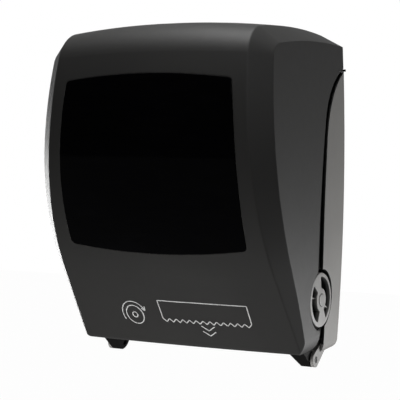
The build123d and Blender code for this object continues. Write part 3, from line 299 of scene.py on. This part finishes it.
# Ground rubber of the grips and the pinch sleeves
rubberLook = {
    "colour": (0.020, 0.020, 0.020), "dusty": (0.055, 0.053, 0.050), "roughness": 0.78, "specular": 0.3,
    "dustScale": 60.0, "dustDetail": 6.0, "dustRoughness": 0.65, "dustSpan": (0.42, 0.75),
    "dustCover": 0.6, "dustDulls": 0.12,
    "grainScale": 900.0, "grainStretch": (0.35, 1.0, 1.0), "grainStrength": 0.5, "grainDepth": 0.25 * mm,
}


def groundRubber(name, look):
    material, bench, where = openFinish(name)
    specks = noise(bench, where, look["dustScale"], look["dustDetail"], look["dustRoughness"])
    dust = rising(bench, specks, look["dustSpan"])
    grain = noise(bench, stretched(bench, where, look["grainStretch"]), look["grainScale"])
    bump = bench.node("ShaderNodeBump", {}, {
        "Strength": look["grainStrength"], "Distance": look["grainDepth"], "Height": grain,
    })
    closeFinish(bench, {
        "Base Color": blendColour(bench, dust * look["dustCover"], rgba(look["colour"]), rgba(look["dusty"])),
        "Roughness": look["roughness"] + dust * look["dustDulls"],
        "Normal": bump, "Specular IOR Level": look["specular"],
    })
    return material


# Plated, drawn or cast metal: fine lines one way and a little tarnish
metalLook = {
    "lineDetail": 4.0, "lineRoughness": 0.6, "lineStrength": 0.25,
    "spotScale": 75.0, "spotDetail": 5.0, "spotRoughness": 0.6, "spotSpan": (0.5, 0.8),
    "spotCover": 0.5, "spotDulls": 0.12,
}
steelLook = {
    "colour": (0.56, 0.56, 0.565), "tarnish": (0.34, 0.325, 0.30), "roughness": 0.27, "spread": 0.16,
    "lineScale": 700.0, "lineStretch": (0.03, 1.0, 1.0), "lineDepth": 0.04 * mm,
}
lockLook = {
    "colour": (0.50, 0.50, 0.51), "tarnish": (0.36, 0.35, 0.34), "roughness": 0.33, "spread": 0.16,
    "lineScale": 500.0, "lineStretch": (1.0, 1.0, 0.08), "lineDepth": 0.05 * mm,
}


def drawnMetal(name, look):
    material, bench, where = openFinish(name)
    drawn = stretched(bench, where, look["lineStretch"])
    lines = noise(bench, drawn, look["lineScale"], metalLook["lineDetail"], metalLook["lineRoughness"])
    stains = noise(bench, where, metalLook["spotScale"], metalLook["spotDetail"], metalLook["spotRoughness"])
    spots = rising(bench, stains, metalLook["spotSpan"])
    bump = bench.node("ShaderNodeBump", {}, {
        "Strength": metalLook["lineStrength"], "Distance": look["lineDepth"], "Height": lines,
    })
    uneven = look["roughness"] + (lines - noiseMiddle) * look["spread"]
    closeFinish(bench, {
        "Base Color": blendColour(
            bench, spots * metalLook["spotCover"], rgba(look["colour"]), rgba(look["tarnish"])
        ),
        "Roughness": uneven + spots * metalLook["spotDulls"],
        "Metallic": 1.0, "Normal": bump,
    })
    return material


# Pad-printed ink, a little worn through
inkLook = {
    "colour": (0.48, 0.48, 0.475), "thin": (0.24, 0.24, 0.235), "roughness": 0.55, "specular": 0.35,
    "wornScale": 420.0, "wornDetail": 5.0, "wornRoughness": 0.6, "wornSpan": (0.5, 0.78), "wornDulls": 0.15,
}


def printedInk(name, look):
    material, bench, where = openFinish(name)
    specks = noise(bench, where, look["wornScale"], look["wornDetail"], look["wornRoughness"])
    worn = rising(bench, specks, look["wornSpan"])
    closeFinish(bench, {
        "Base Color": blendColour(bench, worn, rgba(look["colour"]), rgba(look["thin"])),
        "Roughness": look["roughness"] + worn * look["wornDulls"], "Specular IOR Level": look["specular"],
    })
    return material


finishes = {
    "cover_plastic": mouldedPlastic("coverCharcoal", coverLook),
    "window_gloss": polishedWindow("smokedWindow", windowLook),
    "housing_grey": mouldedPlastic("housingGrey", housingLook),
    "knob_grey": mouldedPlastic("knobGrey", knobLook),
    "black_plastic": mouldedPlastic("blackPlastic", blackLook),
    "white_nylon": mouldedPlastic("naturalNylon", nylonLook),
    "arm_grey": mouldedPlastic("armGrey", armLook),
    "rubber": groundRubber("groundRubber", rubberLook),
    "steel": drawnMetal("drawnSteel", steelLook),
    "lock_metal": drawnMetal("lockZinc", lockLook),
}
# painted shade: the hinge lugs under the cover and the edge seals that fill the reveals take this darker
# black, as they sit in shadow
shadedMattBlack = mouldedPlastic("shadedMattBlack", shadedMattLook)
shadedMattNodes = ("hinge_lug_left", "hinge_lug_right", "edge_seal_left", "edge_seal_right")
for part in frame["record"]["subparts"]:
    mesh = nodes[part["node"]].data
    mesh.materials.clear()
    mesh.materials.append(shadedMattBlack if part["node"] in shadedMattNodes else finishes[part["material_slot"]])
print("finishes:", len(finishes))


def linked(name, data):
    holder = bpy.data.objects.new(name, data)
    bpy.context.scene.collection.objects.link(holder)
    return holder


def drawnCurve(name, lines, place):
    curve = bpy.data.curves.new(name, "CURVE")
    curve.dimensions = "3D"
    for line in lines:
        spline = curve.splines.new("POLY")
        spline.points.add(len(line) - 1)
        for point, spot in zip(spline.points, line):
            point.co = (*place(spot), 1.0)
    return linked(name, curve)


# Geometry Nodes: a tree with its named inputs, as wires and as identifiers
def openTree(name, kinds):
    tree = bpy.data.node_groups.new(name, "GeometryNodeTree")
    names = {}
    for title, kind in {"Geometry": "Geometry", **kinds}.items():
        socket = tree.interface.new_socket(title, in_out="INPUT", socket_type="NodeSocket" + kind)
        names[title] = socket.identifier
    tree.interface.new_socket("Geometry", in_out="OUTPUT", socket_type="NodeSocketGeometry")
    bench = Wire(tree)
    inputs = bench.node("NodeGroupInput")
    return bench, {title: inputs.other(title) for title in names}, names


def closeTree(bench, shape, finish):
    real = bench.node("GeometryNodeRealizeInstances", {}, {"Geometry": shape})
    finished = bench.node("GeometryNodeSetMaterial", {}, {"Geometry": real, "Material": finish})
    bench.node("NodeGroupOutput", {}, {0: finished})
    return bench.tree


def evenLine(bench, curve, step):
    return bench.node("GeometryNodeResampleCurve", {"mode": "LENGTH"}, {"Curve": curve, "Length": step})


def flatSection(bench, width, height):
    return bench.node("GeometryNodeCurvePrimitiveQuadrilateral", {}, {"Width": width, "Height": height})


def sweptSolid(bench, curve, section):
    return bench.node("GeometryNodeCurveToMesh", {}, {
        "Curve": curve, "Profile Curve": section, "Fill Caps": True,
    })


# Sets a tree's inputs on a holder, keeps the result as a plain mesh, and drops the holder with its modifier
def bakedMesh(holder, name, treeAndNames, values):
    tree, names = treeAndNames
    modifier = holder.modifiers.new(tree.name, "NODES")
    modifier.node_group = tree
    for title, value in values.items():
        modifier[names[title]] = value
    graph = bpy.context.evaluated_depsgraph_get()
    piece = linked(name, bpy.data.meshes.new_from_object(holder.evaluated_get(graph)))
    bpy.data.objects.remove(holder)
    return piece


# Printed guide on the lower front: a sheet with a torn edge, two chevrons and a knob with its turning arrow
guideLook = {
    "lineWidth": 1.35 * mm, "lineHeight": 0.12 * mm, "step": 1.2 * mm,
    "inFront": 0.30,  # metres from the wall, from where the lines are laid on the cover
    "sheetLeft": -22.0, "sheetRight": 100.0, "sheetTop": 62.0, "sheetLow": 38.0,
    "teeth": 13, "toothDepth": 4.5,
    "chevronHalf": 9.0, "chevronFall": 6.0, "chevronTops": (31.0, 24.0), "chevronMiddle": 39.0,
    "knobMiddle": (-62.0, 40.0), "knobRadius": 12.5, "capRadius": 3.6,
    "turnRadius": 18.0, "turnFrom": 205.0, "turnTo": 20.0, "turnSteps": 40,
    "arrowLength": 5.0, "arrowSpread": 0.6, "arrowSteps": 2,
}
towardsWall = (0.0, 1.0, 0.0)


def roundLine(middle, radius, start, end, steps):
    angles = [radians(start + (end - start) * number / steps) for number in range(steps + 1)]
    return [(middle[0] + radius * cos(angle), middle[1] + radius * sin(angle)) for angle in angles]


def sheetLine(look):
    left, right, top, low = look["sheetLeft"], look["sheetRight"], look["sheetTop"], look["sheetLow"]
    pitch = (right - left) / look["teeth"]
    line = [(left, top), (left, low)]
    for number in range(look["teeth"]):
        line.append((left + (number + 0.5) * pitch, low - look["toothDepth"]))
        line.append((left + (number + 1) * pitch, low))
    return line + [(right, top), (left, top)]


def guideLines(look):
    lines = [sheetLine(look)]
    middle, half = look["chevronMiddle"], look["chevronHalf"]
    for top in look["chevronTops"]:
        lines.append([(middle - half, top), (middle, top - look["chevronFall"]), (middle + half, top)])
    hub, steps = look["knobMiddle"], look["turnSteps"]
    for radius in (look["knobRadius"], look["capRadius"]):
        lines.append(roundLine(hub, radius, 0.0, fullTurn, steps))
    sweep = roundLine(hub, look["turnRadius"], look["turnFrom"], look["turnTo"], steps)
    tip = Vector(sweep[-1])
    along = (Vector(sweep[-1 - look["arrowSteps"]]) - tip).normalized() * look["arrowLength"]
    across = Vector((-along.y, along.x)) * look["arrowSpread"]
    return lines + [sweep, [tuple(tip + along + across), tuple(tip), tuple(tip + along - across)]]


# Lays lines on the surface behind them, as flat strips that follow it
def surfaceLineTree():
    bench, given, names = openTree("printedLine", {
        "Surface": "Object", "Step": "Float", "Width": "Float", "Height": "Float", "Ink": "Material",
    })
    line = evenLine(bench, given["Geometry"], given["Step"])
    original = {"transform_space": "ORIGINAL"}
    target = bench.node("GeometryNodeObjectInfo", original, {"Object": given["Surface"]}, out="Geometry")
    rays = {"Target Geometry": target, "Ray Direction": towardsWall}
    cast = bench.node("GeometryNodeRaycast", {}, rays, out="Hit Position")
    kept = bench.node("GeometryNodeCaptureAttribute", {}, {"Geometry": line}, out="Geometry")
    store = kept.socket.node
    store.capture_items.new("VECTOR", "Outward")
    bench.tree.links.new(cast.other("Hit Normal").socket, store.inputs["Outward"])
    laid = bench.node("GeometryNodeSetPosition", {}, {"Geometry": kept, "Position": cast})
    turned = bench.node(
        "GeometryNodeSetCurveNormal", {"mode": "FREE"}, {"Curve": laid, "Normal": kept.other("Outward")}
    )
    solid = sweptSolid(bench, turned, flatSection(bench, given["Height"], given["Width"]))
    return closeTree(bench, solid, given["Ink"]), names


guideCurve = drawnCurve(
    "guideCurve", guideLines(guideLook),
    lambda spot: (spot[0] * mm, -guideLook["inFront"], (spot[1] - originAbove) * mm),
)
printedGuide = bakedMesh(guideCurve, "printed_guide", surfaceLineTree(), {
    "Surface": nodes["front_cover"], "Step": guideLook["step"], "Width": guideLook["lineWidth"],
    "Height": guideLook["lineHeight"], "Ink": printedInk("guideInk", inkLook),
})
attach(printedGuide, "cover")
print("printed guide:", len(printedGuide.data.polygons), "faces")


# Return spring behind its case: a wound wire from the side frame's anchor down to the crank
springLook = {
    "middle": (-132.0, 70.5), "radius": 6.0, "topAbove": 125.0, "lowAbove": 78.5, "turns": 12.5,
    "topLegEnd": -114.5, "lowLegEnd": -122.5, "stepsPerTurn": 28, "wire": 0.8 * mm, "wireSides": 12,
}


def springLine(look):
    across, forward = look["middle"]
    steps = int(look["turns"] * look["stepsPerTurn"])
    line = [(look["topLegEnd"], forward + look["radius"], look["topAbove"])]
    for number in range(steps + 1):
        turn = 2 * pi * look["turns"] * number / steps
        above = look["topAbove"] + (look["lowAbove"] - look["topAbove"]) * number / steps
        line.append((across - look["radius"] * sin(turn), forward + look["radius"] * cos(turn), above))
    line.append((look["lowLegEnd"], forward - look["radius"], look["lowAbove"]))
    return line


def wireTree():
    bench, given, names = openTree("woundWire", {
        "Wire Radius": "Float", "Sides": "Int", "Finish": "Material",
    })
    section = bench.node("GeometryNodeCurvePrimitiveCircle", {}, {
        "Resolution": given["Sides"], "Radius": given["Wire Radius"],
    })
    wire = sweptSolid(bench, given["Geometry"], section)
    smooth = bench.node("GeometryNodeSetShadeSmooth", {}, {"Geometry": wire})
    return closeTree(bench, smooth, given["Finish"]), names


springCurve = drawnCurve(
    "springCurve", [springLine(springLook)],
    lambda spot: (spot[0] * mm, -spot[1] * mm, (spot[2] - originAbove) * mm),
)
woundSpring = bakedMesh(springCurve, "wound_return_spring", wireTree(), {
    "Wire Radius": springLook["wire"], "Sides": springLook["wireSides"], "Finish": finishes["steel"],
})
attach(woundSpring, "housing")
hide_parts("return_spring")
print("return spring:", len(woundSpring.data.polygons), "faces")


# Leaf spring on the pinch yoke: a flat steel strip bent round its corner, in place of the CAD leaf
leafLook = {
    "thickness": 0.8 * mm, "width": 24.0 * mm, "foot": 16.0 * mm, "bend": 4.0 * mm, "bendSteps": 8,
    "step": 1.2 * mm, "tipIn": 0.2 * mm, "tipUp": 0.35 * mm,
    "tipFollows": 4.5 * mm,  # length back from the tip; the point worked out from it is not used
}


def leafPath(look):
    low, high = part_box("pinch_leaf")
    top = Vector((0.0, high.y - look["thickness"] / 2, high.z))
    corner = top - Vector((0.0, 0.0, look["foot"]))
    tip = Vector((0.0, low.y + look["tipIn"], low.z + look["tipUp"]))
    before = corner + (top - corner).normalized() * look["bend"]
    after = corner + (tip - corner).normalized() * look["bend"]
    path = [top]
    for number in range(look["bendSteps"] + 1):  # a quadratic curve round the corner
        share = number / look["bendSteps"]
        path.append(before * (1 - share) ** 2 + corner * 2 * share * (1 - share) + after * share ** 2)
    return path + [tip]


def stripTree():
    bench, given, names = openTree("flatStrip", {
        "Width": "Float", "Thickness": "Float", "Step": "Float", "Finish": "Material",
    })
    line = evenLine(bench, given["Geometry"], given["Step"])
    strip = sweptSolid(bench, line, flatSection(bench, given["Width"], given["Thickness"]))
    return closeTree(bench, strip, given["Finish"]), names


leafSpots = leafPath(leafLook)
leafSpring = bakedMesh(drawnCurve("leafCurve", [leafSpots], tuple), "flexing_leaf", stripTree(), {
    "Width": leafLook["width"], "Thickness": leafLook["thickness"], "Step": leafLook["step"],
    "Finish": finishes["steel"],
})
leafRoot, leafTip = leafSpots[-2], leafSpots[-1]
tuple(leafTip + (leafRoot - leafTip).normalized() * leafLook["tipFollows"])
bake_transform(leafSpring)
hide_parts("pinch_leaf")
print("leaf spring:", len(leafSpring.data.polygons), "faces")


# Thin ribs across the knob's two finger pockets, in mm and degrees
ribLook = {
    "turns": (12.0, 207.0), "inner": 13.8, "outer": 29.4, "thickness": 1.7, "drop": 2.6, "depth": 10.2,
    "round": 0.5, "roundSteps": 2, "roundShape": 0.5,
}
blockFaces = [(0, 3, 2, 1), (4, 5, 6, 7), (0, 1, 5, 4), (1, 2, 6, 5), (2, 3, 7, 6), (3, 0, 4, 7)]


def ribBlocks(look):
    low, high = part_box("feed_knob")
    middle = Vector((0.0, (low[1] + high[1]) / 2, (low[2] + high[2]) / 2))
    face = high[0]
    blocks = []
    for turn in look["turns"]:
        out = Vector((0.0, -cos(radians(turn)), sin(radians(turn))))
        side = Vector((0.0, sin(radians(turn)), cos(radians(turn)))) * look["thickness"] / 2 * mm
        corners = []
        for across in (face - look["depth"] * mm, face - look["drop"] * mm):
            level = middle + Vector((across, 0.0, 0.0))
            for reach, way in (("inner", -1), ("outer", -1), ("outer", 1), ("inner", 1)):
                corners.append(level + out * look[reach] * mm + side * way)
        blocks.append(corners)
    return blocks


def roundedBlocks(name, blocks, look):
    mesh = bpy.data.meshes.new(name)
    build = bmesh.new()
    for corners in blocks:
        spots = [build.verts.new(corner) for corner in corners]
        for face in blockFaces:
            build.faces.new([spots[number] for number in face])
    bmesh.ops.recalc_face_normals(build, faces=build.faces)
    bmesh.ops.bevel(
        build, geom=build.edges[:], offset=look["round"] * mm, segments=look["roundSteps"],
        affect="EDGES", profile=look["roundShape"],
    )
    bmesh.ops.recalc_face_normals(build, faces=build.faces)
    build.to_mesh(mesh)
    build.free()
    return linked(name, mesh)


knobRibs = roundedBlocks("knob_pocket_ribs", ribBlocks(ribLook), ribLook)
# the ribs keep the knob's colour without the painted pocket shade
ribFinish = {name: value for name, value in knobLook.items() if not name.startswith("deep")}
knobRibs.data.materials.append(mouldedPlastic("knobRibGrey", ribFinish))
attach(knobRibs, "drum")
print("knob ribs:", len(ribLook["turns"]))


# Panel screws: heads with a cross recess, on the seats of the CAD screws
screwLook = {
    "Head Radius": 3.6 * mm, "Top Radius": 2.9 * mm, "Head": 2.4 * mm, "Shank Radius": 1.9 * mm,
    "Recess Length": 4.2 * mm, "Recess Width": 1.0 * mm, "Recess Depth": 1.4 * mm, "Sides": 32,
}
screwsApart = 9.0 * mm  # points nearer than this belong to one screw
headsForward = (pi / 2, 0.0, 0.0)
fullSize = (1.0, 1.0, 1.0)
unitRod = 1.0  # each screw stretches it to its shank's length


def screwSeats(node, head):
    groups = []
    for vertex in node.data.vertices:
        spot = vertex.co.copy()
        for group in groups:
            if Vector((spot.x - group[0].x, spot.z - group[0].z)).length < screwsApart:
                group.append(spot)
                break
        else:
            groups.append([spot])
    seats = []
    for group in groups:
        low = [min(spot[axis] for spot in group) for axis in range(3)]
        high = [max(spot[axis] for spot in group) for axis in range(3)]
        seat = low[1] + head
        seats.append((((low[0] + high[0]) / 2, seat, (low[2] + high[2]) / 2), high[1] - seat))
    return seats


def seatPoints(name, seats):
    mesh = bpy.data.meshes.new(name)
    mesh.from_pydata([place for place, length in seats], [], [])
    shanks = mesh.attributes.new("shank", "FLOAT", "POINT")
    shanks.data.foreach_set("value", [length for place, length in seats])
    return linked(name, mesh)


def screwTree(sizes):
    kinds = {size: "Int" if size == "Sides" else "Float" for size in sizes}
    bench, given, names = openTree("crossHeadScrews", {**kinds, "Finish": "Material"})

    def vector(across, along, up):
        return bench.node("ShaderNodeCombineXYZ", {}, {"X": across, "Y": along, "Z": up})

    def moved(shape, up):
        return bench.node("GeometryNodeTransform", {}, {
            "Geometry": shape, "Translation": vector(0.0, 0.0, up),
        })

    def placed(shape, scale):
        return bench.node("GeometryNodeInstanceOnPoints", {}, {
            "Points": given["Geometry"], "Instance": shape, "Rotation": headsForward, "Scale": scale,
        })

    head = bench.node("GeometryNodeMeshCone", {}, {
        "Vertices": given["Sides"], "Radius Top": given["Top Radius"], "Radius Bottom": given["Head Radius"],
        "Depth": given["Head"],
    })
    bars = []
    for first, second in (("Recess Length", "Recess Width"), ("Recess Width", "Recess Length")):
        size = vector(given[first], given[second], given["Recess Depth"] * 2)
        bars.append(moved(bench.node("GeometryNodeMeshCube", {}, {"Size": size}), given["Head"]))
    crossed = bench.node(
        "GeometryNodeMeshBoolean", {"operation": "DIFFERENCE"}, {"Mesh 1": head, "Mesh 2": bars}
    )
    rod = bench.node("GeometryNodeMeshCylinder", {}, {
        "Vertices": given["Sides"], "Radius": given["Shank Radius"], "Depth": unitRod,
    })
    length = bench.node("GeometryNodeInputNamedAttribute", {"data_type": "FLOAT"}, {"Name": "shank"})
    shank = placed(moved(rod, -unitRod / 2), vector(1.0, 1.0, length))
    whole = bench.node("GeometryNodeJoinGeometry", {}, {"Geometry": [placed(crossed, fullSize), shank]})
    return closeTree(bench, whole, given["Finish"]), names


seats = screwSeats(nodes["panel_screws"], screwLook["Head"])
panelScrews = bakedMesh(seatPoints("screwSeats", seats), "cross_head_screws", screwTree(screwLook), {
    **screwLook, "Finish": finishes["steel"],
})
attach(panelScrews, "housing")
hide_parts("panel_screws")
print("screws:", len(seats), "with", len(panelScrews.data.polygons), "faces")


# Stage: pale floor, white surroundings, soft lamps and the photo's camera
stageLook = {
    "floorHeight": -1.40, "floorHalf": 9.0, "floorColour": (0.80, 0.80, 0.80), "white": (1.0, 1.0, 1.0),
    "floorWhite": 0.90,  # how far the floor's own look gives way to plain white
    "floorGlow": 1.09, "mirrored": 0.35,  # that white to the camera, and in gloss
    "ambient": 0.025,  # light of the surroundings on the object
    "frontDim": 0.02, "rearDim": 0.40, "fadeSpan": (0.25, 0.75),  # the surroundings in gloss, front to rear
}


def seenRays(bench):
    camera = bench.node("ShaderNodeLightPath", out="Is Camera Ray")
    seen = camera
    for ray in ("Is Glossy Ray", "Is Transmission Ray"):
        seen = bench.maths("MAXIMUM", seen, camera.other(ray))
    return camera, seen


def paleFloor(look):
    half, height = look["floorHalf"], look["floorHeight"]
    corners = [(-half, -half, height), (half, -half, height), (half, half, height), (-half, half, height)]
    mesh = bpy.data.meshes.new("studio_floor")
    mesh.from_pydata(corners, [], [range(len(corners))])
    floor = linked("studio_floor", mesh)
    material = bpy.data.materials.new("paleFloor")
    bench = emptyTree(material)
    camera, seen = seenRays(bench)
    matte = bench.node("ShaderNodeBsdfDiffuse", {}, {"Color": rgba(look["floorColour"])})
    glow = look["mirrored"] + camera * (look["floorGlow"] - look["mirrored"])
    white = bench.node("ShaderNodeEmission", {}, {"Color": rgba(look["white"]), "Strength": glow})
    both = bench.node("ShaderNodeMixShader", {}, {0: seen * look["floorWhite"], 1: matte, 2: white})
    bench.node("ShaderNodeOutputMaterial", {}, {"Surface": both})
    mesh.materials.append(material)


def whiteSurroundings(look):
    world = bpy.data.worlds.new("whiteStudio")
    bpy.context.scene.world = world
    bench = emptyTree(world)
    camera, seen = seenRays(bench)
    towards = bench.node("ShaderNodeTexCoord", out="Generated")
    rearward = bench.node("ShaderNodeSeparateXYZ", {}, {0: towards}, out="Y")
    front, rear = look["fadeSpan"]
    share = rearward * 0.5 + 0.5  # 0 in front of the object, 1 behind it
    fade = ramp(bench, share, [(front, look["frontDim"]), (rear, look["rearDim"])])
    shown = bench.maths("MAXIMUM", camera, fade)
    colour = rgba(look["white"])
    soft = bench.node("ShaderNodeBackground", {}, {"Color": colour, "Strength": look["ambient"]})
    white = bench.node("ShaderNodeBackground", {}, {"Color": colour, "Strength": shown})
    both = bench.node("ShaderNodeMixShader", {}, {0: seen, 1: soft, 2: white})
    bench.node("ShaderNodeOutputWorld", {}, {"Surface": both})


lamps = {
    "lowRight": {"at": (0.52, 0.26, -0.40), "to": (0.16, -0.06, -0.18), "size": 0.4, "power": 2.9},
    "highTop": {"at": (0.0, -0.32, 1.05), "to": (0.0, -0.20, 0.12), "size": 0.8, "power": 13.0},
    "leftRim": {"at": (-1.30, 0.45, -0.35), "to": (-0.16, -0.10, -0.10), "size": 0.7, "power": 14.0},
    "lowFront": {
        "at": (-0.05, -0.46, -0.62), "to": (0.0, -0.18, -0.15), "size": 0.5, "power": 4.0, "mirrored": False,
    },
    "ridgeLine": {"at": (0.45, -1.70, 0.70), "to": (0.10, -0.20, 0.05), "size": 0.30, "power": 1.2},
    "bandGlow": {"at": (0.97, -0.88, 0.56), "to": (0.12, -0.18, 0.06), "size": 0.30, "power": 1.6},
}


def softLamp(name, look):
    light = bpy.data.lights.new(name, "AREA")
    light.shape = "DISK"
    light.size = look["size"]
    light.energy = look["power"]
    holder = linked(name, light)
    holder.location = look["at"]
    holder.visible_camera = False
    holder.visible_glossy = look.get("mirrored", True)
    aim = Vector(look["to"]) - Vector(look["at"])
    holder.rotation_euler = aim.to_track_quat("-Z", "Y").to_euler()


cameraLook = {
    "at": (0.73353, -1.47325, 0.01445), "turn": (87.045, 0.0, 27.99), "lens": 110.16, "sensor": 36.0,
}


def photoCamera(look):
    data = bpy.data.cameras.new("photoCamera")
    data.lens = look["lens"]
    data.sensor_width = look["sensor"]
    holder = linked("photoCamera", data)
    holder.location = look["at"]
    holder.rotation_euler = [radians(angle) for angle in look["turn"]]
    bpy.context.scene.camera = holder


paleFloor(stageLook)
whiteSurroundings(stageLook)
for name, lamp in lamps.items():
    softLamp(name, lamp)
photoCamera(cameraLook)
bpy.context.scene.view_settings.view_transform = "Standard"
print("stage: floor, surroundings,", len(lamps), "lamps and camera")
